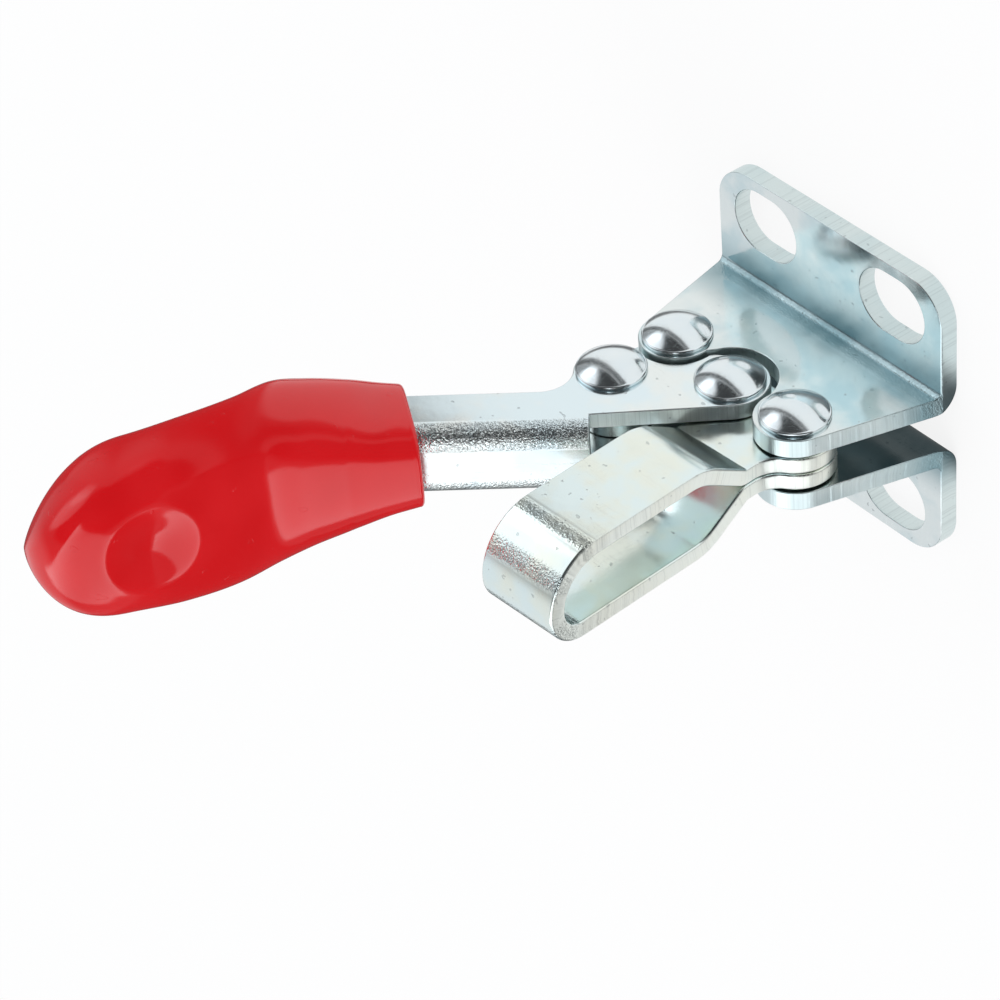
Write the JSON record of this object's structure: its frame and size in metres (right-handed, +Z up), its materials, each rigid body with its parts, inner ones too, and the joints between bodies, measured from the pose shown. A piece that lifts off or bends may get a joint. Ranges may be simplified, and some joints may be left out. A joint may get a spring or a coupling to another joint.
{
  "type": "toggle clamp",
  "caption": "Small toggle clamp with a folded U-bar, a stamped channel lever with a plastic grip, and a flanged base with slotted bolt holes.",
  "frame": {"origin": "centre of the base's footprint and of its four slots, on the mounting face", "axes": "+Z up from the mounting face, +X forward, the way the bar points when the clamp is closed, +Y to the left side"},
  "size_m": [0.0377, 0.0248, 0.0588],
  "materials": {
    "zinc_plated_sheet": "bright zinc plate",
    "rivet_steel": "bright zinc plate, polished heads",
    "grip_vinyl": "glossy dipped vinyl"
  },
  "bodies": {
    "base": {"base_plate_left": "zinc_plated_sheet", "base_plate_right": "zinc_plated_sheet", "rivet_bar_pivot": "rivet_steel", "rivet_link_base": "rivet_steel"},
    "bar": {"u_bar": "zinc_plated_sheet"},
    "handle": {"handle_lever": "zinc_plated_sheet", "grip": "grip_vinyl", "rivet_handle_bar": "rivet_steel", "rivet_handle_link": "rivet_steel"},
    "link": {"link_left": "zinc_plated_sheet", "link_right": "zinc_plated_sheet"}
  },
  "joints": [
    {"name": "bar_swing", "type": "hinge", "parent": "base", "child": "bar", "pos_m": [0.00615, 0, 0.01045], "axis": [0, 1, 0], "range_deg": [0, 86.5]},
    {"name": "handle_swing", "type": "hinge", "parent": "bar", "child": "handle", "pos_m": [-0.00045, 0, 0.0109], "axis": [0, 1, 0], "range_deg": [-140.2, 0]},
    {"name": "link_swing", "type": "hinge", "parent": "base", "child": "link", "pos_m": [-0.0071, 0, 0.0103], "axis": [0, 1, 0], "range_deg": [0, 52]}
  ],
  "couplings": [
    {"joint": "handle_swing", "follows": "bar_swing", "ratio": -1.62},
    {"joint": "link_swing", "follows": "bar_swing", "ratio": 0.6}
  ]
}
